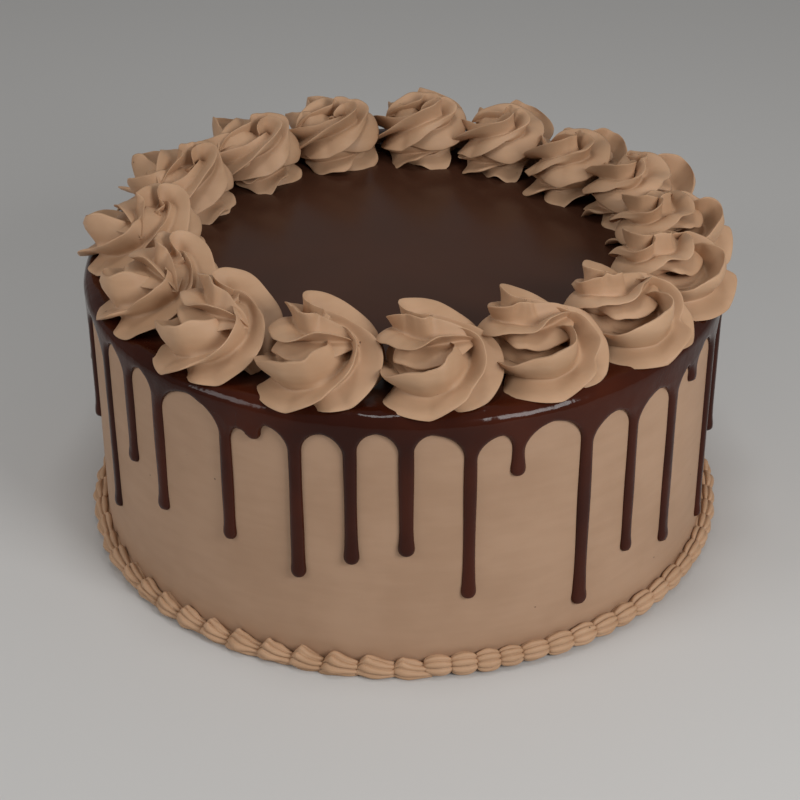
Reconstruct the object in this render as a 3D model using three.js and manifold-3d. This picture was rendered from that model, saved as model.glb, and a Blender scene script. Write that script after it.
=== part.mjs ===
// A round chocolate drip cake. A tall frosted body carries a glossy ganache cap, which runs down
// the side in drips. A ring of piped swirls stands on the cap, and a piped shell border closes
// the foot. Millimetres, +Z up, origin at the centre of the foot, front towards -Y.
import * as THREE from "three";
import { mergeVertices } from "three/addons/utils/BufferGeometryUtils.js";
import Module from "manifold-3d";

// The frosted body
const CAKE_RADIUS = 111.5;
const CAKE_HEIGHT = 98;
const CAKE_EDGE = 4;
const EDGE_STEPS = 2;
const ROUND_SEGMENTS = 60;
const CLEARANCE = 0.3;

// The ganache cap and its drips
const GANACHE_DEPTH = 2;
const SKIRT_FOOT = 92.5;
const DRIP_THICKNESS = 1.8;
const DRIP_HALF_WIDTH = 2.25;
const DRIP_ROOT = 95.5;

// The piped swirls on the cap
const SWIRL_RADIUS = 22;
const SWIRL_HEIGHT = 24;
const SWIRL_TEETH = 6;
const SWIRL_GAP = 0.4;

// The piped shell border
const SHELL_COUNT = 66;
const SHELL_WIDTH = 6.3;
const SHELL_HEIGHT = 8.8;

// Frosting and ganache
const BUTTERCREAM = { color: 0x9f7f66, roughness: 0.62, metalness: 0 };
const PIPED_CREAM = { color: 0xa88163, roughness: 0.58, metalness: 0 };
const GANACHE = { color: 0x38201a, roughness: 0.22, metalness: 0 };

const wasm = await Module();
wasm.setup();

const radians = THREE.MathUtils.degToRad;

// A bearing is counted from the front of the cake towards its right-hand side.
function around(radius, bearing, height) {
  return new THREE.Vector3(radius * Math.sin(bearing), -radius * Math.cos(bearing), height);
}

// A number from 0 to 1 that depends on its seed alone, so that every run gives the same cake.
function chance(seed) {
  const wave = Math.sin(seed * 127.1 + 11.7) * 43758.5453;
  return wave - Math.floor(wave);
}

const vary = (seed, middle, spread) => middle + (2 * chance(seed) - 1) * spread;

// Closed geometry as a solid for cutting and joining, and back again.
function toSolid(geometry) {
  const bare = geometry.clone();
  bare.deleteAttribute("normal");
  bare.deleteAttribute("uv");
  const merged = mergeVertices(bare, 1e-4);
  const corners = [];
  for (let i = 0; i < merged.index.count; i += 3) {
    const [a, b, c] = [0, 1, 2].map((k) => merged.index.getX(i + k));
    if (a !== b && b !== c && c !== a) corners.push(a, b, c);
  }
  const vertProperties = new Float32Array(merged.attributes.position.array);
  return new wasm.Manifold(
    new wasm.Mesh({ numProp: 3, vertProperties, triVerts: new Uint32Array(corners) }),
  );
}

function toGeometry(solid) {
  const mesh = solid.getMesh();
  const geometry = new THREE.BufferGeometry();
  geometry.setAttribute("position", new THREE.BufferAttribute(mesh.vertProperties, 3));
  geometry.setIndex(new THREE.BufferAttribute(mesh.triVerts, 1));
  geometry.computeVertexNormals();
  return geometry;
}

// A skin over rings of points, each ring with as many points, listed from the first ring to the
// last. The ends are closed by fans, unless the rings run round to the first one again.
function loft(rings, endless = false) {
  const size = rings[0].length;
  const points = rings.flat();
  const faces = [];
  const spans = endless ? rings.length : rings.length - 1;
  for (let i = 0; i < spans; i += 1) {
    const low = i * size;
    const high = ((i + 1) % rings.length) * size;
    for (let j = 0; j < size; j += 1) {
      const next = (j + 1) % size;
      faces.push(low + j, low + next, high + next, low + j, high + next, high + j);
    }
  }
  if (!endless) {
    const last = (rings.length - 1) * size;
    for (let j = 1; j < size - 1; j += 1) {
      faces.push(0, j + 1, j, last, last + j, last + j + 1);
    }
  }
  const geometry = new THREE.BufferGeometry().setFromPoints(points);
  geometry.setIndex(faces);
  geometry.computeVertexNormals();
  return geometry;
}

// A profile of [radius, height] pairs, from the axis at the bottom to the axis at the top.
function turned(profile) {
  const points = profile.map(([radius, height]) => new THREE.Vector2(radius, height));
  return new THREE.LatheGeometry(points, ROUND_SEGMENTS).rotateX(Math.PI / 2);
}

// The rounded top edge, from its foot on the side to its top, a distance outside the frosting.
function topEdge(offset) {
  return Array.from({ length: EDGE_STEPS + 1 }, (_, i) => {
    const turn = (i / EDGE_STEPS) * (Math.PI / 2);
    const reach = CAKE_EDGE + offset;
    return [
      CAKE_RADIUS - CAKE_EDGE + reach * Math.cos(turn),
      CAKE_HEIGHT - CAKE_EDGE + reach * Math.sin(turn),
    ];
  });
}

function makeBody() {
  return turned([[0, 0], [CAKE_RADIUS, 0], ...topEdge(0), [0, CAKE_HEIGHT]]);
}

// The cap without drips: it covers the top, rolls over the edge and ends in a short skirt.
function makeCap() {
  const inside = [[0, CAKE_HEIGHT + CLEARANCE], ...topEdge(CLEARANCE).reverse()];
  const lip = [
    [CAKE_RADIUS + CLEARANCE, SKIRT_FOOT],
    [CAKE_RADIUS + GANACHE_DEPTH, SKIRT_FOOT + 1.5],
  ];
  return turned([...inside, ...lip, ...topEdge(GANACHE_DEPTH), [0, CAKE_HEIGHT + GANACHE_DEPTH]]);
}

// Where the drips run: bearing in degrees and the height of the tip. Those at the front and the
// sides follow the photographed cake, and a rule sets the rest, with the same mix of lengths.
const SHOWN_DRIPS = [
  [-84, 62], [-78.9, 45], [-64.5, 24], [-55, 53], [-46.4, 42], [-31, 43], [-25.3, 85],
  [-18.2, 35], [-9, 43], [0.1, 47], [10.5, 29], [18.5, 74], [31.2, 16], [41.5, 29],
  [52.5, 22], [59, 80], [70, 12], [79, 38],
];
const HIDDEN_DRIPS = 19;
const HIDDEN_LENGTHS = [31, 52, 24, 66, 38, 19, 47, 80, 29, 41];

function allDrips() {
  const first = SHOWN_DRIPS[0][0] + 360;
  const last = SHOWN_DRIPS.at(-1)[0];
  const pitch = (first - last) / (HIDDEN_DRIPS + 1);
  const hidden = Array.from({ length: HIDDEN_DRIPS }, (_, i) => [
    last + (i + 1) * pitch + vary(i, 0, 2.2),
    HIDDEN_LENGTHS[i % HIDDEN_LENGTHS.length] + vary(i + 50, 0, 4),
  ]);
  return [...SHOWN_DRIPS, ...hidden];
}

// One drip: it flares into the skirt at its root, runs down as a rounded bead and ends in a drop.
function makeDrip([degrees, tip], number) {
  const bearing = radians(degrees);
  const width = DRIP_HALF_WIDTH * vary(number + 100, 1, 0.08);
  const run = DRIP_ROOT - tip;
  const flare = Math.min(1, run / 30);
  const stations = [
    [DRIP_ROOT, 3.1 * flare, 0.75],
    [DRIP_ROOT - 4 * flare, 2 * flare, 0.85],
    [DRIP_ROOT - 8 * flare, 1.1, 0.95],
    [tip + 1.6, 1, 1.1],
    [tip, 0.4, 0.5],
  ];
  const section = [[-1, 0], [1, 0], [0.68, 0.8], [0, 1], [-0.68, 0.8]];
  const rings = stations.map(([height, wide, thick]) =>
    section.map(([across, out]) => {
      const radius = CAKE_RADIUS + CLEARANCE + out * thick * DRIP_THICKNESS;
      return around(radius, bearing + (across * wide * width) / CAKE_RADIUS, height);
    }),
  );
  return loft(rings);
}

function makeGanache() {
  const cap = toSolid(makeCap());
  return toGeometry(allDrips().reduce((solid, drip, i) => solid.add(toSolid(makeDrip(drip, i))), cap));
}

// Where the swirls stand: bearing in degrees and distance from the middle of the cake. They are
// piped by hand, so they aren't quite evenly spaced.
const SWIRL_PLACES = [
  [6.5, 92.5], [28.5, 92], [50.5, 95], [71.5, 95.5], [91, 94], [112, 93], [131, 86], [154.5, 88],
  [176.5, 90], [200, 89.5], [223, 90], [247, 92], [273, 92.5], [299, 92.5], [322, 94.5], [344, 93.5],
];

// A swirl's outline from foot to peak: height and radius as shares of the whole, then how deep
// the grooves are, and the turn of the ridges in degrees. The lower coil bulges, the upper coil
// sits on it a little further in, and both run up to the peak.
const SWIRL_LEVELS = [
  [0, 0.78, 0.5, -10],
  [0.13, 1.0, 1, 0],
  [0.3, 0.99, 1, 28],
  [0.45, 0.8, 1, 62],
  [0.52, 0.76, 1, 80],
  [0.66, 0.78, 1, 105],
  [0.8, 0.6, 1, 145],
  [0.91, 0.32, 1, 195],
  [1, 0.06, 0.3, 235],
];
const TOOTH = [1, 0.8, 0.72];
const PEAK_SHIFT = 6.5;

function makeSwirl(number) {
  const size = SWIRL_RADIUS * vary(number + 200, 1, 0.03);
  const tall = SWIRL_HEIGHT * vary(number + 220, 1, 0.05);
  const start = vary(number + 240, 0, 30);
  const rings = SWIRL_LEVELS.map(([height, wide, groove, turn]) =>
    Array.from({ length: SWIRL_TEETH * TOOTH.length }, (_, i) => {
      const angle = radians(start + turn + (i * 360) / (SWIRL_TEETH * TOOTH.length));
      const reach = size * wide * (1 - groove * (1 - TOOTH[i % TOOTH.length]));
      const lean = PEAK_SHIFT * height ** 2;
      return new THREE.Vector3(lean + reach * Math.cos(angle), reach * Math.sin(angle), height * tall);
    }),
  );
  return loft(rings);
}

// The slice of the cake that belongs to one swirl, so that neighbours meet without overlapping.
function makeSlice(distance, before, after) {
  const far = 2 * CAKE_RADIUS;
  const apex = distance - SWIRL_GAP / 2 / Math.sin((before + after) / 2);
  const outline = new THREE.Shape([
    new THREE.Vector2(0, apex),
    new THREE.Vector2(-far * Math.sin(before), apex - far * Math.cos(before)),
    new THREE.Vector2(far * Math.sin(after), apex - far * Math.cos(after)),
  ]);
  const slice = new THREE.ExtrudeGeometry(outline, { depth: 3 * SWIRL_HEIGHT, bevelEnabled: false });
  return slice.translate(0, 0, -SWIRL_HEIGHT);
}

function addSwirls(cake) {
  const count = SWIRL_PLACES.length;
  SWIRL_PLACES.forEach(([bearing, distance], i) => {
    const before = (bearing - SWIRL_PLACES[(i + count - 1) % count][0] + 360) % 360;
    const after = (SWIRL_PLACES[(i + 1) % count][0] - bearing + 360) % 360;
    const slice = makeSlice(distance, radians(before / 2), radians(after / 2));
    const swirl = toSolid(makeSwirl(i)).intersect(toSolid(slice));
    const name = `swirl_${String(i + 1).padStart(2, "0")}`;
    const mesh = addMesh(cake, name, toGeometry(swirl), PIPED_CREAM);
    const foot = CAKE_HEIGHT + GANACHE_DEPTH + CLEARANCE;
    mesh.position.copy(around(distance, radians(bearing), foot));
    mesh.rotation.z = radians(bearing);
  });
}

// The border's section, as shares of its width and height: flat on the board and against the
// side, with two ridges between. Each shell swells from its tail to its head.
const SHELL_SECTION = [[0, 0], [0, 0.9], [0.42, 1], [0.56, 0.74], [1, 0.5], [0.86, 0]];
const SHELL_SWELL = [0.66, 0.95, 1];

function makeBorder() {
  const rings = [];
  const steps = SHELL_SWELL.length;
  for (let i = 0; i < SHELL_COUNT * steps; i += 1) {
    const shell = Math.floor(i / steps);
    const swell = SHELL_SWELL[i % steps] * vary(shell + 300, 1, 0.06);
    const bearing = ((shell + (i % steps) / steps) / SHELL_COUNT) * 2 * Math.PI;
    rings.push(
      SHELL_SECTION.map(([out, up]) =>
        around(CAKE_RADIUS + CLEARANCE + out * swell * SHELL_WIDTH, bearing, up * swell * SHELL_HEIGHT),
      ),
    );
  }
  return loft(rings, true);
}

function addMesh(group, name, geometry, finish) {
  const mesh = new THREE.Mesh(geometry, new THREE.MeshStandardMaterial(finish));
  mesh.name = name;
  group.add(mesh);
  return mesh;
}

const cake = new THREE.Group();
addMesh(cake, "frosted_body", makeBody(), BUTTERCREAM);
addMesh(cake, "ganache_cap", makeGanache(), GANACHE);
addMesh(cake, "shell_border", makeBorder(), PIPED_CREAM);
addSwirls(cake);

export default cake;
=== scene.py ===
# %% [markdown]
# # A chocolate drip cake
# This lesson dresses the plain solids of a round celebration cake. The cake has a tall side of
# cocoa buttercream, a glossy chocolate cap whose drips run down the side, a ring of piped swirls
# on top and a small piped border round the foot. Each piece is made as a baker makes it: cream is
# squeezed through a star nozzle along a path, and chocolate runs down until it sets.

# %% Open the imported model
import math

import bmesh
import bpy
import numpy as np
from mathutils import Matrix, Vector


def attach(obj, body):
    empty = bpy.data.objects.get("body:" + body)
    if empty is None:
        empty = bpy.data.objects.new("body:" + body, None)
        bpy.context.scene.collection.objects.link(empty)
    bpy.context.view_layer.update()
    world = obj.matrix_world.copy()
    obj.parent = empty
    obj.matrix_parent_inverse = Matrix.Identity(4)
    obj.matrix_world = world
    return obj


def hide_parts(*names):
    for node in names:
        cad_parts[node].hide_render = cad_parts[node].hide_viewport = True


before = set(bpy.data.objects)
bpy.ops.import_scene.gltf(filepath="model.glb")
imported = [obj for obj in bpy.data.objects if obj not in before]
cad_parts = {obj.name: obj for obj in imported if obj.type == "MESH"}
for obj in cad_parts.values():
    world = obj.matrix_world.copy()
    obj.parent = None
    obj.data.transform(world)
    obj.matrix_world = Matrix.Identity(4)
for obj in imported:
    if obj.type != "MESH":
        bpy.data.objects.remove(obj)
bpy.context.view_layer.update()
print("nodes to dress:", sorted(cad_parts))

# %% [markdown]
# ## Sizes
# The cake is easiest to think of in millimetres, so the shapes are worked out in millimetres and
# scaled to metres as each mesh is finished. A bearing is an angle round the cake, counted from the
# front towards the right-hand side, so bearing 0 faces the camera and bearing 90 is on the right.

# %% Sizes of the cake
# One millimetre in metres. All the other sizes are in millimetres.
MM = 0.001
SIDE_RADIUS = 111.5
BODY_HEIGHT = 98.0
TOP_HEIGHT = 100.0
RIM_ROLL = 5.0
GANACHE_DEPTH = 1.8
# Each swirl's bearing in degrees and its distance from the middle of the cake.
SWIRL_PLACES = [
    (6.5, 92.5), (28.5, 92), (50.5, 95), (71.5, 95.5), (91, 94), (112, 93), (131, 86), (154.5, 88),
    (176.5, 90), (200, 89.5), (223, 90), (247, 92), (273, 92.5), (299, 92.5), (321, 94), (344, 93.5),
]


def chance(seed):
    """A number from 0 to 1 that is the same for a seed on every run."""
    wave = math.sin(seed * 127.1 + 11.7) * 43758.5453
    return wave - math.floor(wave)


def vary(seed, middle, spread):
    """The middle, up to a spread more or less."""
    return middle + (2 * chance(seed) - 1) * spread


# %% [markdown]
# ## Skins over rings of points
# Every piece here is a tube of some kind: a rope of cream, a bead of chocolate, the cake's own
# round wall. A flat grid rolled into a tube has the right faces already, so only the places of its
# points are left to work out. That can be done for a whole piece at once with arrays.

# %% Roll a grid into a tube and lay its rings
def tube_of(rings):
    """A closed bmesh with one loop of points for each ring."""
    count, size = rings.shape[:2]
    rolled = np.concatenate([rings, rings[:, :1]], axis=1)
    sheet = bmesh.new()
    bmesh.ops.create_grid(sheet, x_segments=size, y_segments=count - 1, size=1)
    for vertex, place in zip(sheet.verts, rolled.reshape(-1, 3)):
        vertex.co = place
    bmesh.ops.remove_doubles(sheet, verts=sheet.verts, dist=0.002)
    bmesh.ops.holes_fill(sheet, edges=[edge for edge in sheet.edges if edge.is_boundary])
    return sheet


def join(parts):
    """Several bmeshes as one."""
    whole = bmesh.new()
    for part in parts:
        held = bpy.data.meshes.new("held")
        part.to_mesh(held)
        part.free()
        whole.from_mesh(held)
        bpy.data.meshes.remove(held)
    return whole


def finish_piece(name, shape, material, node):
    """Writes a bmesh in millimetres as a piece in metres that stands for a node of the model."""
    bmesh.ops.remove_doubles(shape, verts=shape.verts, dist=0.002)
    bmesh.ops.recalc_face_normals(shape, faces=shape.faces)
    bmesh.ops.scale(shape, vec=(MM, MM, MM), verts=shape.verts)
    for face in shape.faces:
        face.smooth = True
    mesh = bpy.data.meshes.new(name)
    shape.to_mesh(mesh)
    shape.free()
    mesh.materials.append(material)
    piece = bpy.data.objects.new(name, mesh)
    bpy.context.scene.collection.objects.link(piece)
    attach(piece, "root")
    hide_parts(node)
    print(f"{name}: {sum(len(p.vertices) - 2 for p in mesh.polygons)} triangles")


# %% [markdown]
# Points round the cake are found from a bearing, a radius and a height. Hand work is never quite
# even, so a slow wave made of a few sines with a seeded start gives every surface its unevenness.

# %% Places round the cake, and unevenness
def around(bearing, radius, height):
    """Points at a bearing in radians, a radius and a height, in an array of any shape."""
    bearing, radius, height = np.broadcast_arrays(bearing, radius, height)
    return np.stack([radius * np.sin(bearing), -radius * np.cos(bearing), height], axis=-1)


def uneven(seed, places, pitch):
    """A wave between about -1 and 1 over an array of places, with bumps about a pitch apart."""
    dice = np.random.default_rng(seed)
    total = 0
    for _ in range(5):
        heading = dice.normal(size=places.shape[-1])
        heading *= dice.uniform(0.7, 1.5) * 2 * np.pi / pitch / np.linalg.norm(heading)
        total = total + np.sin(places @ heading + dice.uniform(0, 2 * np.pi))
    return total / 3


# %% [markdown]
# ## Shader arithmetic
# A material is easier to read as sums than as a web of nodes. A small class holds one socket, and
# adding or multiplying it adds the Math node that does so.

# %% A socket that can be added and multiplied
class Signal:
    def __init__(self, tree, socket=None):
        self.tree = tree
        self.socket = socket

    def node(self, kind, output=0, inputs=None, **settings):
        """Any other node: its settings first, then a value or a link for each named socket."""
        made = self.tree.nodes.new(kind)
        for name, value in settings.items():
            setattr(made, name, value)
        for name, value in (inputs or {}).items():
            if isinstance(value, Signal):
                self.tree.links.new(value.socket, made.inputs[name])
            else:
                made.inputs[name].default_value = value
        return Signal(self.tree, made.outputs[output])

    def maths(self, operation, first, second):
        return self.node("ShaderNodeMath", inputs={0: first, 1: second}, operation=operation)

    def __add__(self, other):
        return self.maths("ADD", self, other)

    def __sub__(self, other):
        return self.maths("SUBTRACT", self, other)

    def __rsub__(self, other):
        return self.maths("SUBTRACT", other, self)

    def __mul__(self, other):
        return self.maths("MULTIPLY", self, other)

    __radd__ = __add__
    __rmul__ = __mul__

    def spread(self, low, high):
        """Stretches the part between low and high to run from 0 to 1, with soft ends."""
        return self.node(
            "ShaderNodeMapRange",
            inputs={"Value": self, "From Min": low, "From Max": high},
            interpolation_type="SMOOTHSTEP",
        )

    def blend(self, first, second):
        """A colour between two colours, by this signal."""
        colours = {"Factor": self, 6: first, 7: second}
        return self.node("ShaderNodeMix", output=2, inputs=colours, data_type="RGBA")


def linear(red, green, blue):
    """A colour read from a screen, from 0 to 255, as the light that it stands for."""
    return [((c / 255 + 0.055) / 1.055) ** 2.4 for c in (red, green, blue)] + [1.0]


# %% [markdown]
# ## Buttercream
# Buttercream is whipped fat and sugar. It is matt with a faint oily sheen, light passes a little
# way into it, so thin lips glow, and it holds tiny burst air bubbles. The scraped side and the
# piped work are the same cream: the scraper leaves long faint smears, while the nozzle leaves the
# piped cream smooth, with pin-prick bubbles here and there. The two copies of it differ in colour
# only by painted light: the piped copy is painted a little paler and the side copy a little darker.

# %% Buttercream material
def start_material(name):
    """An empty material, its shader and the place on the piece as a signal."""
    material = bpy.data.materials.new(name)
    material.use_nodes = True
    tree = material.node_tree
    shader = tree.nodes["Principled BSDF"]
    place = Signal(tree).node("ShaderNodeTexCoord", output="Object")
    return material, shader, place


def plug(signal, shader, name):
    """Links a signal to one of the shader's inputs."""
    signal.tree.links.new(signal.socket, shader.inputs[name])


def noise(place, scale, detail):
    """Cloudy noise, with its scale in clouds to the metre."""
    inputs = {"Vector": place, "Scale": scale, "Detail": detail, "Roughness": 0.5}
    return place.node("ShaderNodeTexNoise", output="Fac", inputs=inputs)


def bubbles(place, scale, size, share):
    """1 inside pin-prick bubbles and 0 elsewhere; only a share of the cells hold a bubble."""
    cell = {"Vector": place, "Scale": scale}
    near = place.node("ShaderNodeTexVoronoi", output="Distance", inputs=cell)
    tint = place.node("ShaderNodeTexVoronoi", output="Color", inputs=cell)
    pick = place.node("ShaderNodeSeparateColor", output="Red", inputs={"Color": tint})
    chosen = pick.maths("LESS_THAN", pick, share)
    return (1 - near.spread(size * 0.5, size)) * chosen


def stretched(place, along):
    """The place scaled along each axis. More in height gives long level smears, 0 leaves it out."""
    return place.node("ShaderNodeMapping", inputs={"Vector": place, "Scale": along})


def make_buttercream(name, pale, deep, smear, bubble_share):
    material, shader, place = start_material(name)
    clouds = noise(place, 38, 3)
    grain = noise(place, 1500, 2)
    smears = noise(stretched(place, (1, 1, 5)), 60, 3)
    holes = bubbles(place, 210, 0.10, bubble_share)
    colour = (clouds * 0.7 + smears * 0.3).spread(0.3, 0.7).blend(deep, pale)
    # Inside each bubble the cream is painted darker: painted shade in the pit, beside the dent that the bump
    # makes.
    painted_pit_shade = [c * 0.45 for c in deep[:3]] + [1.0]
    plug(holes.blend(colour, painted_pit_shade), shader, "Base Color")
    plug(0.5 + clouds * 0.12 + grain * 0.06, shader, "Roughness")
    height = smears * smear + grain * 0.05 - holes * 0.9
    relief = {"Height": height, "Distance": 0.0004, "Strength": 0.5}
    plug(height.node("ShaderNodeBump", inputs=relief), shader, "Normal")
    shader.inputs["Specular IOR Level"].default_value = 0.35
    shader.inputs["Subsurface Weight"].default_value = 0.06
    shader.inputs["Subsurface Radius"].default_value = (1.0, 0.55, 0.3)
    shader.inputs["Subsurface Scale"].default_value = 0.0025
    return material


# One cream in two copies: the side copy is painted darker, as painted shade, and the piped copy paler, as
# painted light.
side_cream = make_buttercream(
    "side_buttercream_painted_shade", linear(180, 146, 119), linear(170, 136, 109), smear=0.35, bubble_share=0.05
)
piped_cream = make_buttercream(
    "piped_buttercream", linear(194, 157, 125), linear(178, 141, 109), smear=0.1, bubble_share=0.1
)

# %% [markdown]
# ## Ganache
# Ganache is dark chocolate melted into cream. It sets with a glossy skin, nearly black where it
# faces away from the light and reddish where light goes a little way in. Its skin could be a clear
# coat over a dull base, but the whole of it is one smooth fat, so one low roughness does, and slow
# ripples break its highlights. The flat top was smoothed with a knife, which leaves it evener and
# duller than the rim and the drips, where it ran by itself. It is also painted a little paler:
# a painted reflection of the room, which the level top catches.

# %% Ganache material
# Distances from the middle, in metres, between which the knife left off, and with it the top's painted
# reflection.
KNIFE_LEFT_OFF = (0.098, 0.108)


def make_ganache():
    material, shader, place = start_material("ganache")
    clouds = noise(place, 24, 3)
    across = {0: stretched(place, (1, 1, 0))}
    from_middle = place.node("ShaderNodeVectorMath", output="Value", inputs=across, operation="LENGTH")
    flat_top = 1 - from_middle.spread(*KNIFE_LEFT_OFF)
    ripples = (noise(place, 55, 2) - 0.5 + (noise(place, 180, 2) - 0.5) * 0.3) * (1 - flat_top * 0.8)
    poured = clouds.spread(0.3, 0.7).blend(linear(47, 17, 8), linear(68, 28, 14))
    # The level top is painted paler than the poured rim and drips: a painted reflection of the room.
    colour = (flat_top * 0.8).blend(poured, linear(69, 44, 32))
    plug(colour, shader, "Base Color")
    plug(0.06 + clouds * 0.1 + flat_top * 0.13, shader, "Roughness")
    relief = {"Height": ripples, "Distance": 0.0012, "Strength": 0.65}
    plug(ripples.node("ShaderNodeBump", inputs=relief), shader, "Normal")
    shader.inputs["Specular IOR Level"].default_value = 0.18
    return material


ganache = make_ganache()

# %% [markdown]
# ## The frosted body
# The side is turned: a baker holds a scraper upright against the cake while it goes round. So the
# body is a lathed profile, and the slight waves that the scraper leaves are added to its radius.

# %% Turn the body
BODY_COLUMNS = 240
BODY_ROWS = 48
BODY_EDGE = 4.0


def make_body():
    """The profile runs from the foot up the side, round the edge and over the top."""
    bearing = np.linspace(0, 2 * np.pi, BODY_COLUMNS, endpoint=False)
    edge = np.linspace(0, np.pi / 2, 6)[1:]
    edge_foot = BODY_HEIGHT - BODY_EDGE
    upright = np.linspace(1, edge_foot, BODY_ROWS)
    round_edge = SIDE_RADIUS - BODY_EDGE + BODY_EDGE * np.cos(edge)
    heights = np.concatenate([[0, 0, 0], upright, edge_foot + BODY_EDGE * np.sin(edge), [BODY_HEIGHT]])
    radii = np.concatenate([[1, 60, SIDE_RADIUS], np.full(BODY_ROWS, SIDE_RADIUS), round_edge, [1]])
    rings = around(bearing[None, :], radii[:, None], heights[:, None])
    wave = uneven(1, rings * [1, 1, 0.5], 90) * 0.18 + uneven(2, rings * [1, 1, 0.3], 30) * 0.05
    held = ((heights > 0.5) & (radii > 60))[:, None]
    return tube_of(around(bearing[None, :], radii[:, None] + wave * held, heights[:, None]))


finish_piece("buttercream_body", make_body(), side_cream, "frosted_body")

# %% [markdown]
# ## The ganache cap
# Warm ganache is poured on the top, pushed over the edge, and runs down in drips. Seen from the
# side its lower edge is a row of arches with a drip between each two. The cap could be joined
# from beads and a disc, but liquid has no joints, so it is made as one skin: every drip gets a
# group of columns, which spread out over the arch on each side of it and close to a bead below.
# Between two drips the skin passes unseen behind the frosting.

# %% Where the drips run
# Bearing in degrees and height of the tip of each drip at the front, from left to right.
SHOWN_DRIPS = [
    (-84, 62), (-78.9, 45), (-64.5, 24), (-55, 53), (-46.4, 42), (-31, 43), (-25.3, 85),
    (-18.2, 35), (-9, 43), (0.1, 47), (10.5, 29), (18.5, 74), (31.2, 16), (41.5, 29),
    (52.5, 22), (59, 80), (70, 12), (79, 38),
]
# Behind, the drips are evenly spaced with some variation, and take these heights in turn.
HIDDEN_DRIPS = 19
HIDDEN_TIPS = [31, 52, 24, 66, 38, 19, 47, 80, 29, 41]


def all_drips():
    """Bearing in degrees and height of the tip, for the drips shown and those behind."""
    first, last = SHOWN_DRIPS[0][0] + 360, SHOWN_DRIPS[-1][0]
    pitch = (first - last) / (HIDDEN_DRIPS + 1)
    hidden = []
    for i in range(HIDDEN_DRIPS):
        tip = HIDDEN_TIPS[i % len(HIDDEN_TIPS)] + vary(i + 50, 0, 4)
        hidden.append((last + (i + 1) * pitch + vary(i, 0, 2.2), tip))
    return SHOWN_DRIPS + hidden


# Bearing and height of the top of each arch at the front, from left to right.
SHOWN_ARCHES = [
    (-81.5, 93), (-71, 93), (-59.5, 94), (-50.2, 93.6), (-38, 94), (-28, 87.7), (-23, 91.2),
    (-13.6, 91.5), (-4.6, 93.2), (4.2, 92.8), (15.6, 90.2), (24.4, 91.8), (36.9, 88.0),
    (47.2, 87.8), (56.4, 88), (63.5, 91), (74.5, 92),
]


def all_arches(drips):
    """The arch to the right of each drip, in the same order as the drips."""
    arches = list(SHOWN_ARCHES)
    for i in range(len(arches), len(drips)):
        here, after = drips[i][0], drips[(i + 1) % len(drips)][0]
        gap = (after - here) % 360
        arches.append((here + gap * vary(i + 70, 0.45, 0.12), vary(i + 90, 88, 2.5)))
    return arches


drips = all_drips()
arches = all_arches(drips)
print(f"{len(drips)} drips, the longest to {min(tip for _, tip in drips)} mm above the foot")

# %% [markdown]
# A drip is a bead about 4.5 mm wide that ends in a rounded drop. Rows of points level round the
# cake would miss its tip and the top of the arches, so the rows follow the edge: they lie close
# together where it bends, under the arches and in the drop, and far apart along the bead.

# %% Rows of one drip
# Rows of the band over the arches as shares of its height, then heights of rows under the arches
# and above the tip. A drip with less than the full run has the last two scaled down.
BAND_SHARES = [1, 0.75, 0.5, 0.3, 0.17, 0.09, 0.04, 0.015]
UNDER_ARCH = [0, 0.1, 0.3, 0.6, 1, 1.5, 2.1, 2.8, 3.6, 4.5, 5.6, 7, 8.5, 10, 12, 14]
ABOVE_TIP = [6, 4.4, 3.2, 2.4, 1.7, 1.1, 0.6, 0.25, 0.06, 0]
BEAD_ROWS = 6
FULL_RUN = 26.0


def drip_heights(crown, tip):
    """Heights from the foot of the rolled rim down to the tip. The crown is the top of the arches."""
    band = crown + (TOP_HEIGHT - RIM_ROLL - crown) * np.array(BAND_SHARES)[:, None]
    scale = min(1, (crown - tip).mean() / FULL_RUN)
    fall, drop = np.array(UNDER_ARCH) * scale, np.array(ABOVE_TIP) * scale
    middle = np.linspace(0, 1, BEAD_ROWS + 2)[1:-1]
    below = [crown - f for f in fall]
    below += [(crown - fall[-1]) * (1 - m) + (tip + drop[0]) * m for m in middle]
    below += [np.full_like(crown, tip + d) for d in drop]
    return np.concatenate([band, np.array(below)])


# %% [markdown]
# Near the top a drip spreads out over half of the arch on each side. The sides of an arch are a
# little straighter than those of a round one, because the running chocolate pulls them down. Wide
# arches are also higher, up to a limit.

# %% Outline of one drip
BEAD = 2.25
ARCH_POWER = 1.8
ARCH_FOOT = 3.5
ARCH_SLOPE = 0.55
ARCH_LIMIT = 11.0
ARCH_SHARE_OF_RUN = 0.75
DROP_SWELL = 0.16
BEAD_WAVE = 0.05


def ease(value, low, high):
    """0 below low, 1 above high and a soft step between."""
    share = np.clip((value - low) / (high - low), 0, 1)
    return share * share * (3 - 2 * share)


def edge_of_arch(share):
    """How far out the edge of an arch is, as a share of its half-width, at a share of its height."""
    return (1 - np.clip(share, 0, 1) ** ARCH_POWER) ** (1 / ARCH_POWER)


def round_end(share):
    """Half-width of a round end, from 0 at its tip to 1 where it is over."""
    return np.sqrt(1 - (1 - np.clip(share, 0, 1)) ** 2)


def arch_height(crown, tip, room, bead):
    """How high the arches beside a drip are, where room is the half-width that it has to cover."""
    wide = np.minimum(ARCH_FOOT + ARCH_SLOPE * (room - bead), ARCH_LIMIT)
    return np.minimum(wide, (crown - tip) * ARCH_SHARE_OF_RUN)


def bead_width(height, tip, bead, number):
    """Half-width of the bead below the arches, which swells in the drop."""
    swell = 1 + DROP_SWELL * np.exp(-(((height - tip - 3) / 3) ** 2))
    return bead * (swell + BEAD_WAVE * np.sin(height / 7 + number))


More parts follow.
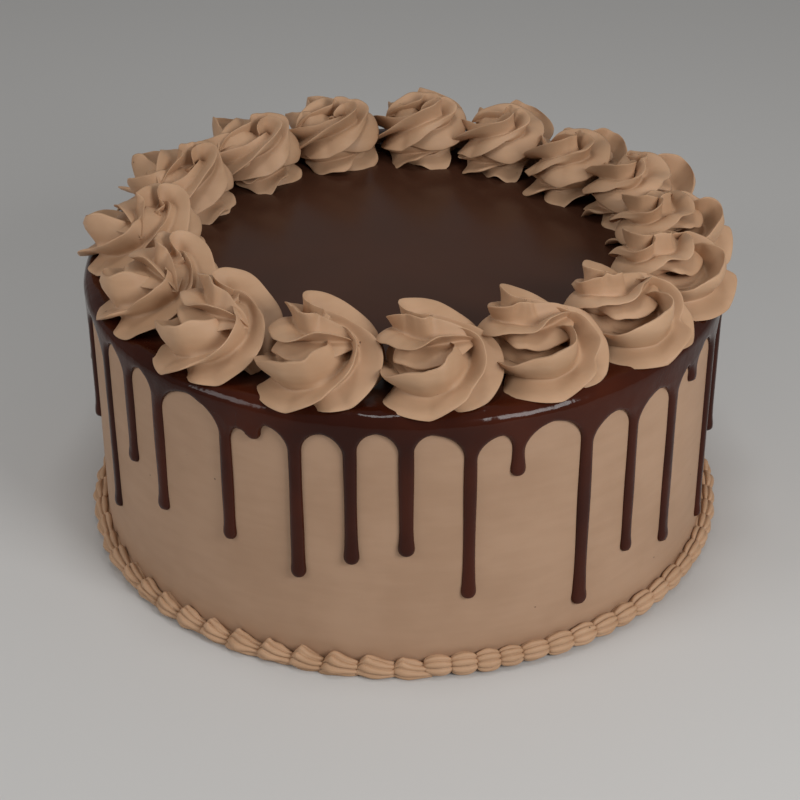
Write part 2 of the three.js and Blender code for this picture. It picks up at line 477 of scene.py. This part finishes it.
# %% [markdown]
# The cross-section follows from one idea: chocolate is as thick as its distance from the nearest
# edge allows, up to its full depth. Near an upright edge that is the distance across, near the top
# of an arch the distance up, and round the corner something between the two. An edge that isn't
# there counts as far away. Where there is no chocolate the skin goes just behind the frosting.

# %% Lay the columns of one drip
DRIP_COLUMNS = 18
BEAD_DEPTH = 1.5
BAND_DEPTH = 0.3
DROP_DEPTH = 0.5
SHOULDER = 2.1
FAR = 1e3
BEHIND = -0.5


def drip_depth(height, tip, share, distance):
    """Depth of the chocolate at a distance in from its edge."""
    full = BEAD_DEPTH + BAND_DEPTH * np.clip(share, 0, 1)
    full = full + DROP_DEPTH * np.exp(-(((height - tip - 2.5) / 3) ** 2))
    return full * round_end(distance / SHOULDER) * np.sqrt(np.clip((height - tip) / 1.2, 0, 1))


def drip_columns(number, drip, left, right):
    """Rows from the band under the rim to the tip, and columns from the left arch to the right."""
    bearing, tip = drip
    bead = BEAD * vary(number + 100, 1, 0.1)
    across = -np.cos(np.linspace(0, np.pi, DRIP_COLUMNS + 1))
    room = np.array([(bearing - left[0]) % 360, (right[0] - bearing) % 360])
    room = np.radians(room)[np.where(across < 0, 0, 1)] * SIDE_RADIUS
    lean = ease((1 - across) / 2, 0, 1)
    crown = left[1] * lean + right[1] * (1 - lean)
    height = drip_heights(crown, tip)

    arch = arch_height(crown, tip, room, bead)
    share = (height - (crown - arch)) / arch
    shaft = bead_width(height, tip, bead, number)
    half = shaft + (room - shaft) * (1 - edge_of_arch(share))
    half = half * round_end((height - tip) / (bead * 1.2))
    offset = across * half

    beyond = (room - np.abs(offset)) / np.maximum(room - bead, 0.1)
    arch_edge = crown - arch * (1 - edge_of_arch(beyond))
    upward = np.where(np.abs(offset) > shaft, np.maximum(height - arch_edge, 0), FAR)
    sideways = np.where(height < crown, half - np.abs(offset), FAR)
    distance = sideways * upward / np.maximum(np.hypot(sideways, upward), 1e-6)
    depth = drip_depth(height, tip, share, distance)
    hidden = (height <= crown + 1e-6) & (np.abs(across) > 0.999)
    radius = SIDE_RADIUS + np.where(hidden | (depth < 1e-6), BEHIND, depth)
    return np.radians(bearing) + offset / SIDE_RADIUS, radius, height


# %% [markdown]
# The groups of columns stand side by side. Over them come the rolled rim and the nearly flat top,
# whose rings use the same columns, and behind them one last ring closes the skin inside the cake.

# %% Pour the cap
ROLL_STEPS = 8
TOP_RINGS = [104, 98, 90, 80, 68, 54, 38, 20, 4]
RIM_RIPPLES = ([100, 107, 110, SIDE_RADIUS + GANACHE_DEPTH], [0, 1, 1, 0.4])
CLOSED_INSIDE = 6.0


def pour_over(bearing):
    """Rings from the middle of the top out over the rolled rim, which is the most rippled."""
    roll = np.linspace(0, np.pi / 2, ROLL_STEPS + 1)[1:]
    rim_radius = SIDE_RADIUS + GANACHE_DEPTH - RIM_ROLL + RIM_ROLL * np.cos(roll)
    rim_height = TOP_HEIGHT - RIM_ROLL + RIM_ROLL * np.sin(roll)
    radius = np.concatenate([rim_radius, TOP_RINGS])[::-1, None]
    height = np.concatenate([rim_height, np.full(len(TOP_RINGS), TOP_HEIGHT)])[::-1, None]
    over = around(bearing, radius, height)
    over[..., 2] += uneven(5, over, 70) * 0.18 + uneven(6, over, 26) * 0.06
    over[..., 2] += uneven(8, over, 13) * 0.2 * np.interp(radius, *RIM_RIPPLES)
    return over


def make_cap():
    groups = [drip_columns(i, drip, arches[i - 1], arches[i]) for i, drip in enumerate(drips)]
    bearing, radius, height = (np.concatenate(values, axis=1) for values in zip(*groups))
    side = around(bearing, radius, height)
    wave = uneven(7, around(bearing, SIDE_RADIUS, height * 0), 40)
    outward = around(bearing, 1.0, height * 0)
    side += outward * (0.12 * wave * (radius > SIDE_RADIUS))[..., None]
    inside = around(bearing[:1], SIDE_RADIUS - CLOSED_INSIDE, BODY_HEIGHT - CLOSED_INSIDE)
    return tube_of(np.concatenate([pour_over(bearing[:1]), side, inside]))


finish_piece("ganache_cap_and_drips", make_cap(), ganache, "ganache_cap")

# %% [markdown]
# ## The piped swirls
# A swirl is one rope of cream from a nozzle with six teeth. The baker holds the bag upright, goes
# round once on the cake, once more above it, and pulls away. The bag hardly turns, and that gives
# a swirl its look: the nozzle's teeth keep facing the same way while the rope goes round, so every
# ridge runs from the outside of the coil over its top to the middle. A star swept along the path
# with its teeth turned to follow it would give a screw thread instead, so each ring here is the
# same star, only tipped over as the cream lies down.

# %% The nozzle's star
TEETH = 6
TOOTH_POINTS = 16
VALLEY = 0.29
RIDGE_SHARPNESS = 3.2


def star():
    """For each point of the outline: its place counted in teeth, and how much it is a ridge."""
    place = np.arange(TEETH * TOOTH_POINTS) / TOOTH_POINTS
    off = (place - np.round(place)) * 2
    off = np.sign(off) * np.abs(off) ** 1.5
    blunt = np.sqrt(off**2 + 0.002) - 0.045
    ridge = (1 - np.clip(blunt, 0, 1)) ** RIDGE_SHARPNESS
    return np.round(place) + off / 2, ridge


# %% [markdown]
# The path of the nozzle is a short table of places: outward from the cake, onward round the cake,
# the height, and how thick the rope is there. It starts on the inner side of the ring and goes
# round the left, the front and the right while it lies on the cake. Then it climbs on its own
# start, turns sharply at the left and is pulled off towards the right, where all ridges meet.

# %% The nozzle's path
SWIRL_PATH = [
    # outward, onward, height, rope, turn of the nozzle in degrees
    (-7, 10, 3.4, 3, 0), (-12, 5, 4.0, 9, 0), (-13.4, -1, 4.3, 11, 0), (-11.6, -7.5, 4.4, 11.4, 0),
    (-6, -11.6, 4.2, 11.4, 0), (1, -12.2, 4.0, 11.8, 0), (7.8, -9.8, 3.9, 12.8, 0),
    (11.4, -4.4, 3.9, 13.2, 0), (11.8, 1, 4.2, 13, 0), (8.8, 5.8, 5.4, 11.8, 0),
    (4.5, 9, 6.6, 11.2, 0), (-1, 10, 8.0, 10.8, 0), (-6.8, 7.6, 10.0, 10.6, 0),
    (-10.8, 3, 12.8, 10.4, 0), (-12.4, -3.2, 14.1, 10.4, 0), (-11.4, -8, 14.1, 10.4, 4),
    (-8.6, -10.2, 13.6, 10.6, 14), (-5, -9.6, 13, 10.8, 30), (-1.5, -6.5, 13, 10.8, 46),
    (1.5, -2, 13.2, 10.6, 56), (1.2, 3.2, 14.4, 8, 64), (0.2, 8.2, 15, 4.2, 70), (-1, 12, 13.4, 0.3, 74),
]
PATH_STEPS = 9
THINNEST_ROPE = 0.3
HAND_DRIFT = 0.5


def trace(keys, steps):
    """A smooth line through a table: a row for each step, each row with the table's columns."""
    keys = np.array(keys, float)
    keys = np.vstack([2 * keys[0] - keys[1], keys, 2 * keys[-1] - keys[-2]])
    at = np.arange((len(keys) - 3) * steps + 1) / steps
    offsets = np.linspace(-0.75, 0.75, 9)
    weights = 1 + np.cos(offsets * 3.8)
    weights /= weights.sum()
    stations = np.arange(-1, len(keys) - 1)
    rows = [[w * np.interp(at + o, stations, column) for column in keys.T] for w, o in zip(weights, offsets)]
    return at, np.sum(rows, axis=0).T


def follow_path(seed):
    """Along the path: its row in the table, the places, which way is inward, up and ahead, the rope."""
    at, line = trace(SWIRL_PATH, PATH_STEPS)
    drift = np.stack([uneven(seed + k, at[:, None], 6.0) for k in range(3)], -1)
    path = line[:, :3] + HAND_DRIFT * drift * [1, 1, 0.5]
    onward = np.gradient(path, axis=0)
    onward /= np.linalg.norm(onward, axis=1, keepdims=True)
    ahead = onward * [1, 1, 0]
    ahead /= np.linalg.norm(ahead, axis=1, keepdims=True)
    inward = np.stack([-ahead[:, 1], ahead[:, 0], np.zeros(len(at))], -1)
    heading = np.arctan2(ahead[:, 1], ahead[:, 0]) - np.radians(line[:, 4])
    rope = np.maximum(line[:, 3], THINNEST_ROPE)
    return at[:, None], path, inward, np.cross(onward, inward), heading[:, None], rope[:, None]


# %% [markdown]
# The rope is soft, and that could be left to a simulation, but a few rules give the same forms. Each
# rule holds on a stretch of the path, counted in rows of the table, and comes and goes softly.

# %% Stretches of the path
# Each stretch: where its rule begins, is full, fades and is over.
RIM_PUSHED = (1, 3, 4.2, 8.4)
RIM_PUSHED_AGAIN = (15.5, 17, 18, 20)
RIM_HELD_DOWN = (12, 13.5, 16.8, 17.8)
RIM_SWELLS = (4, 6.5, 8, 10)
UNDER_UPPER_TURN = (0.5, 1.5, 8, 9.5)
FLATTEST = (4, 5.5, 11, 12)
PRESSED_INSIDE = (1, 3, 8, 10)
ON_ITSELF = (10.5, 13, 16, 17)
TUCKED_IN = (10.8, 13, 15.5, 17)
SHARP_TURN = (12.5, 14, 16, 19)
# The row where the rope has climbed on to its lower turn.
CLIMB_ENDS = 13.0


def during(late, stretch):
    """1 on a stretch of the path and 0 off it, with a soft step at each end."""
    begins, full, fades, over = stretch
    return ease(late, begins, full) * (1 - ease(late, fades, over))


def loose_start(late):
    """How loose the rope still is, where the nozzle has only begun to move."""
    return 1 - ease(late, 3, 7)


# %% [markdown]
# The first rules turn the ridges. A ridge that would sink into what is under it, the cake's top or
# the lower turn, is turned up along it. The first ridge makes the broad skirt round the foot, and
# the later ones start small and slip out from under the one before. The ridge that faces the swirl
# before this one is pushed up by it and makes the inner rim.

# %% Turn the ridges up
RIM_TOOTH = 5
TUCKED_TOOTH = 1
RIM_PUSH = math.radians(70)
UPPER_TURN_ROW = 10
SLIP_OUT_ANGLE = (-1.9, -1.25)


def top_under(rings, distance):
    """Height of the cake's top under some places of a swirl: it rolls off at the rim."""
    from_middle = np.hypot(distance + rings[..., 0], rings[..., 1])
    return -0.7 - 0.9 * ease(from_middle, SIDE_RADIUS - 4, SIDE_RADIUS + 6)


def is_tooth(place, tooth):
    """Whether points belong to a tooth of the nozzle."""
    return np.abs((place - tooth + TEETH / 2) % TEETH - TEETH / 2) < 0.5


def turned_up(place, tip_angle, clearance, late):
    """How far each point is turned up by what it would sink into, and how much its ridge has grown."""
    turn = np.zeros_like(tip_angle)
    pushed = during(late, RIM_PUSHED) + 0.5 * during(late, RIM_PUSHED_AGAIN)
    turn[:, RIM_TOOTH] = RIM_PUSH * pushed[:, 0]
    tip_angle = tip_angle + turn
    lowest = -np.arcsin(np.clip(clearance, 0, 1))
    upper, first = late > UPPER_TURN_ROW, np.arange(TEETH) == 0
    slips_out = np.where(first | upper, *SLIP_OUT_ANGLE)
    turn = turn + 0.9 * np.maximum(lowest - tip_angle, 0) * ease(tip_angle, slips_out, slips_out + 0.6)
    grown = 0.35 + 0.65 * ease(tip_angle, slips_out, slips_out + 0.9 * (1 + 0.5 * upper))
    grown = np.where(first & (late < UPPER_TURN_ROW), 1, grown)
    above = np.floor(place).astype(int)
    share = ease(place - above, 0, 0.55)
    turn = turn[:, above % TEETH] * (1 - share) + turn[:, (above + 1) % TEETH] * share
    return turn, grown[:, np.round(place).astype(int) % TEETH]


# %% [markdown]
# The next rules say how high each ridge stands. In the lower turn the ridges under the upper turn
# are squashed flat, and so is what lies hidden beneath the upper turn itself. In the sharp turn and
# at the start the ridges are rounder, because the cream piles up there.

# %% Heights of the ridges
def squashed_flat(late, place, lift):
    """How much each point is squashed, where lift says how far it faces up."""
    rim = is_tooth(place, RIM_TOOTH)
    at_start = 1 - ease(late, 3, 4.5)
    covered = ease(lift + 0.3 * at_start, 0.2, 0.6) * during(late, UNDER_UPPER_TURN) * ~rim
    growing = rim * (1 - ease(late, 3.4, 7) * (1 - during(late, RIM_HELD_DOWN)))
    beneath = ease(-lift, 0.75, 0.95) * ease(late, CLIMB_ENDS - 1, CLIMB_ENDS + 1)
    return np.maximum(np.maximum(covered, growing), beneath)


def ridge_heights(late, place, ridge, lift):
    """The height of each point between the valleys at 0 and the full ridge at 1."""
    squashed = squashed_flat(late, place, lift)
    flat = 0.08 + 0.42 * ease(lift, 0.2, 0.9) * (1 - during(late, FLATTEST))
    loose = loose_start(late) + 0.4 * during(late, ON_ITSELF)
    rounder = 0.4 * np.maximum(during(late, SHARP_TURN), 0.6 * loose)
    height = ridge ** (1 - rounder) * (1 - squashed) + flat * squashed
    return height * (1 - 0.7 * is_tooth(place, TUCKED_TOOTH) * during(late, TUCKED_IN))


# %% [markdown]
# The valleys between the ridges are a little deeper at the start and shallower in the sharp turn.
# Towards the middle of the lower turn the cream is pressed together, which fills them. At the
# start, where the nozzle went slowly, the edges of the ridges are ruffled.

# %% Reach of the rope
RUFFLE_PITCH = 5.5
RUFFLE_ALWAYS = 0.03
RUFFLE_AT_START = 0.16


def ruffle_places(late, place):
    """Where the waves of the ruffle are looked up, so that each tooth has its own."""
    return np.stack(np.broadcast_arrays(late * 4.2, np.round(place)[None, :] % TEETH * 7), -1)


def rope_reach(late, place, height, outward, ruffle):
    """How far each point is from the middle of the rope, as a share of the rope's width."""
    loose = loose_start(late)
    filling = np.clip(-outward, 0, 1) * during(late, PRESSED_INSIDE)
    valley = VALLEY + 0.08 * during(late, SHARP_TURN) - 0.04 * loose + 0.4 * filling
    ruffled = 1 + (RUFFLE_ALWAYS + RUFFLE_AT_START * loose) * ruffle * height
    swollen = 1 + 0.2 * is_tooth(place, RIM_TOOTH) * during(late, RIM_SWELLS)
    return (valley + (1 - valley) * height) * ruffled * swollen


# %% [markdown]
# Last, the rope settles. Ridges that stick out sideways sag a little, the whole swirl keeps to a
# round outline that narrows upwards, and nothing goes below the cake's top.

# %% Squeeze the rope along its path
LOWER_TURN_HEIGHT = 9.0
WIDEST = 22.6
NARROWS_BY = 4.6
SAG = 0.12
FLUTTER = 2.2


def at_least_zero(value, soft):
    """The value where it is positive and 0 where it is negative, with a bend as wide as soft says."""
    bend = (value + soft) ** 2 / (4 * soft)
    return np.where(value > soft, value, np.where(value < -soft, 0, bend))


def settle(rings, leaning, distance):
    """Keeps the rings inside the swirl's outline and on the cake."""
    from_middle = np.hypot(rings[..., 0], rings[..., 1])
    most = WIDEST - NARROWS_BY * ease(rings[..., 2], 9, 19)
    kept = most - at_least_zero(most - from_middle, 2.5)
    rings[..., :2] *= (kept / np.maximum(from_middle, 0.1))[..., None]
    floor = top_under(rings, distance) + 0.5 * leaning
    rings[..., 2] = floor + at_least_zero(rings[..., 2] - floor, 1.2)
    return rings


def squeeze_rope(seed, phase, distance):
    """Rings of the rope round the swirl's own middle, which is a distance from the cake's."""
    late, path, inward, upward, heading, rope = follow_path(seed)
    place, ridge = star()
    facing = phase + 2 * np.pi * np.arange(TEETH) / TEETH
    tip_angle = (heading - np.pi / 2 - facing + np.pi) % (2 * np.pi) - np.pi
    under = top_under(path, distance)[:, None] + LOWER_TURN_HEIGHT * during(late, ON_ITSELF)
    turned, grown = turned_up(place, tip_angle, (path[:, 2:] - under) / rope, late)
    curl = 0.1 - 0.3 * ease(late, CLIMB_ENDS - 1, CLIMB_ENDS + 2)
    facing = phase + 2 * np.pi * (place + curl * (1 - ridge)) / TEETH - turned
    angle = heading - np.pi / 2 - facing
    outward, lift = np.cos(angle), np.sin(angle)

    height = ridge_heights(late, place, ridge, lift) * grown
    wave_at = ruffle_places(late, place)
    ruffle = uneven(seed, wave_at, RUFFLE_PITCH)
    reach = rope * rope_reach(late, place, height, outward, ruffle)
    rings = path[:, None] + (reach * lift)[..., None] * upward[:, None]
    rings = rings - (reach * outward)[..., None] * inward[:, None]
    leaning = height**1.5 * np.clip(outward, 0, 1)
    rings[..., 2] -= SAG * rope * leaning * ease(rings[..., 2], 2, 9)
    rings[..., 2] += FLUTTER * loose_start(late) * leaning * uneven(seed + 5, wave_at, RUFFLE_PITCH)
    return settle(rings, leaning, distance)


# %% [markdown]
# Each swirl is pressed against the one that was piped before it.

# %% Press a swirl against its neighbour
NEIGHBOUR_REACH = 20.0


def press(rings, distance, neighbour, angle):
    """Pushes a swirl off the neighbour before it, which stands an angle back at its own distance."""
    centre = np.array([neighbour * math.cos(angle) - distance, -neighbour * math.sin(angle)])
    away = rings[..., :2] - centre
    apart = np.hypot(away[..., 0], away[..., 1])
    taken = NEIGHBOUR_REACH * (1 - 0.9 * ease(rings[..., 2], 4, 18))
    freed = at_least_zero(apart - taken, 2.0)
    rings[..., :2] = centre + away * ((taken + freed) / apart)[..., None]
    return rings


def make_swirl(number):
    """One swirl at its place on the cake, in millimetres."""
    bearing, distance = SWIRL_PLACES[number]
    before, neighbour = SWIRL_PLACES[number - 1]
    phase = math.radians(vary(number + 400, 4, 7))
    rings = squeeze_rope(number * 10 + 20, phase, distance)
    rings = press(rings, distance, neighbour, math.radians((bearing - before) % 360))
    out, onward = around(math.radians(bearing), 1, 0), around(math.radians(bearing + 90), 1, 0)
    middle = around(math.radians(bearing), distance, TOP_HEIGHT)
    placed = middle + rings[..., :1] * out + rings[..., 1:2] * onward + rings[..., 2:] * [0, 0, 1]
    return tube_of(placed)


for number in range(len(SWIRL_PLACES)):
    name = f"swirl_{number + 1:02d}"
    finish_piece(f"piped_{name}", make_swirl(number), piped_cream, name)

# %% [markdown]
# ## The shell border
# The border is a row of shells from a small star nozzle. For each one the baker squeezes a head,
# eases off and pulls a tail, which the next head covers. Towards the end of the round the shells
# got longer and the bag was held steeper, so their ridges fan upwards.

# %% Form of a shell
SHELL_COUNT = 70
SHELL_TEETH = 7
SHELL_POINTS = 8


def shell_profile(along, late):
    """Height and width of a shell along its length: barrels early in the round, fans later."""
    barrel = 0.5 + 0.5 * np.sin(np.pi * along) ** 0.5
    head = 0.35 + 0.65 * round_end(along / 0.15)
    fan = head * (0.56 + 0.48 * (1 - along) ** 1.3)
    fan_width = (0.6 + 0.5 * np.sin(np.pi * along**0.8) ** 0.8) * head
    return barrel * (1 - late) + fan * late, barrel * (1 - late) + fan_width * late


def shell_ridges(number, along, late):
    """The spoke that each point of a ring is on, counted in teeth, and how far out it reaches."""
    spoke = np.arange(SHELL_TEETH * SHELL_POINTS) / SHELL_POINTS
    off = np.abs(spoke - np.round(spoke)) * 2
    near_end = np.abs(2 * along - 1) ** 3
    reach = 1 - (0.38 + 0.4 * near_end) * (1 - np.sqrt(1 - off**2))
    ridge_at = np.stack(np.broadcast_arrays(np.round(spoke) % SHELL_TEETH * 3, along * 4), -1)
    return spoke, reach * (1 + (0.05 + 0.12 * late) * uneven(number, ridge_at, 3.2))


# %% [markdown]
# Each tail runs a little way under the next head, and the late shells lean the way they were piped.

# %% Pipe the shells
SHELL_STEPS = 17
SHELL_LENGTH = 8.3
SHELL_LENGTHENS = 3.3
SHELL_HALF_WIDTH = 3.4
SHELL_HALF_HEIGHT = 4.0
SHELL_LEVEL = 3.8
SHELL_OUT = 2.2
BORDER_START = 3.0


def shell_bearings():
    """Bearings of the heads, closer together where the round begins than where it ends."""
    done = [i / SHELL_COUNT for i in range(SHELL_COUNT)]
    lengths = [vary(i + 500, SHELL_LENGTH + SHELL_LENGTHENS * d, 0.7) for i, d in enumerate(done)]
    starts = np.concatenate([[0], np.cumsum(lengths)])
    return BORDER_START + 360 * starts / starts[-1]


def make_shell(number, start, end):
    """One shell from its head at the start to its tail at the end, bearings in degrees."""
    late = ease(number / SHELL_COUNT, 0.1, 0.9)
    along = np.linspace(0, 1, SHELL_STEPS)[:, None]
    plump = vary(number + 600, 1, 0.07)
    swell, wide = (plump * size for size in shell_profile(along, late))
    spoke, reach = shell_ridges(number, along, late)
    angle = 2 * np.pi * spoke / SHELL_TEETH + vary(number + 700, 0, 0.3)
    level = 0.1 + SHELL_LEVEL * (1 - late + late * swell)
    height = level + swell * reach * np.sin(angle) * (SHELL_HALF_HEIGHT + 0.4 * late)
    height = np.maximum(height, 0.05 + 0.1 * (height + 1).clip(0, 1))
    lean = 0.55 * late * height * (1 - along)
    bearing = np.radians(start + (end - start) * along * (1.06 + 0.16 * late)) + lean / SIDE_RADIUS
    radius = SIDE_RADIUS + SHELL_OUT + wide * reach * np.cos(angle) * SHELL_HALF_WIDTH
    return tube_of(around(bearing, radius, height))


bearings = shell_bearings()
shells = [make_shell(i, bearings[i], bearings[i + 1]) for i in range(SHELL_COUNT)]
finish_piece("piped_shell_border", join(shells), piped_cream, "shell_border")

# %% [markdown]
# ## Floor, light and camera
# The cake stands on a plain pale floor. The key light is a softbox at the camera's height on its
# right, and a weaker one stands on its left, which gives the side its slow change of tone, and the
# ganache its highlights along the rim. A small one overhead and a faint room fill the rest.

# %% Floor
FLOOR_HALF_WIDTH = 3.0


def plain(name, colour, roughness):
    """A material of one colour."""
    material = bpy.data.materials.new(name)
    material.use_nodes = True
    shader = material.node_tree.nodes["Principled BSDF"]
    shader.inputs["Base Color"].default_value = colour
    shader.inputs["Roughness"].default_value = roughness
    return material


def make_floor():
    """A flat sheet that only the pictures need, so it is left out of the model."""
    sheet = bmesh.new()
    bmesh.ops.create_grid(sheet, x_segments=1, y_segments=1, size=FLOOR_HALF_WIDTH)
    mesh = bpy.data.meshes.new("floor")
    sheet.to_mesh(mesh)
    sheet.free()
    mesh.materials.append(plain("pale_floor", linear(203, 202, 200), 0.7))
    floor = bpy.data.objects.new("floor", mesh)
    bpy.context.scene.collection.objects.link(floor)


make_floor()

# %% Lights
# Name, place and width in metres, and power in watts.
SOFTBOXES = [
    ("key", (0.48, -0.57, 0.46), 0.3, 3.4),
    ("fill", (-0.62, -0.36, 0.44), 0.3, 1.3),
    ("overhead", (0, -0.1, 1.0), 0.22, 1.5),
]
LIGHTS_AIM = Vector((0, 0, 0.06))
ROOM_LIGHT = (1.0, 0.99, 0.98, 1)
ROOM_STRENGTH = 0.24


def add_softbox(name, place, size, power):
    """A square light that looks at the cake."""
    lamp = bpy.data.lights.new(name, "AREA")
    lamp.size = size
    lamp.energy = power
    holder = bpy.data.objects.new(name, lamp)
    holder.location = place
    holder.rotation_euler = (LIGHTS_AIM - Vector(place)).to_track_quat("-Z", "Y").to_euler()
    bpy.context.scene.collection.objects.link(holder)


for softbox in SOFTBOXES:
    add_softbox(*softbox)

world = bpy.data.worlds.new("room")
bpy.context.scene.world = world
world.use_nodes = True
room = world.node_tree.nodes["Background"]
room.inputs["Color"].default_value = ROOM_LIGHT
room.inputs["Strength"].default_value = ROOM_STRENGTH

# %% Camera
# The pitch, distance and focal length were fitted to the outlines of the cake.
CAMERA_PITCH = math.radians(31.17)
CAMERA_ROLL = math.radians(-0.2)
CAMERA_DISTANCE = 726.5
CAMERA_AIM = Vector((-1.68, 0, 38.17))
FOCAL_LENGTH = 87.95


def make_camera():
    """The camera looks down at the front of the cake, as far off as its distance says."""
    lens = bpy.data.cameras.new("camera")
    lens.sensor_width = 36
    lens.lens = FOCAL_LENGTH
    camera = bpy.data.objects.new("camera", lens)
    back = Vector((0, -math.cos(CAMERA_PITCH), math.sin(CAMERA_PITCH)))
    tilt = Matrix.Rotation(math.pi / 2 - CAMERA_PITCH, 4, "X") @ Matrix.Rotation(CAMERA_ROLL, 4, "Z")
    camera.matrix_world = Matrix.Translation((CAMERA_AIM + back * CAMERA_DISTANCE) * MM) @ tilt
    bpy.context.scene.collection.objects.link(camera)
    bpy.context.scene.camera = camera


make_camera()
bpy.context.scene.view_settings.view_transform = "Standard"
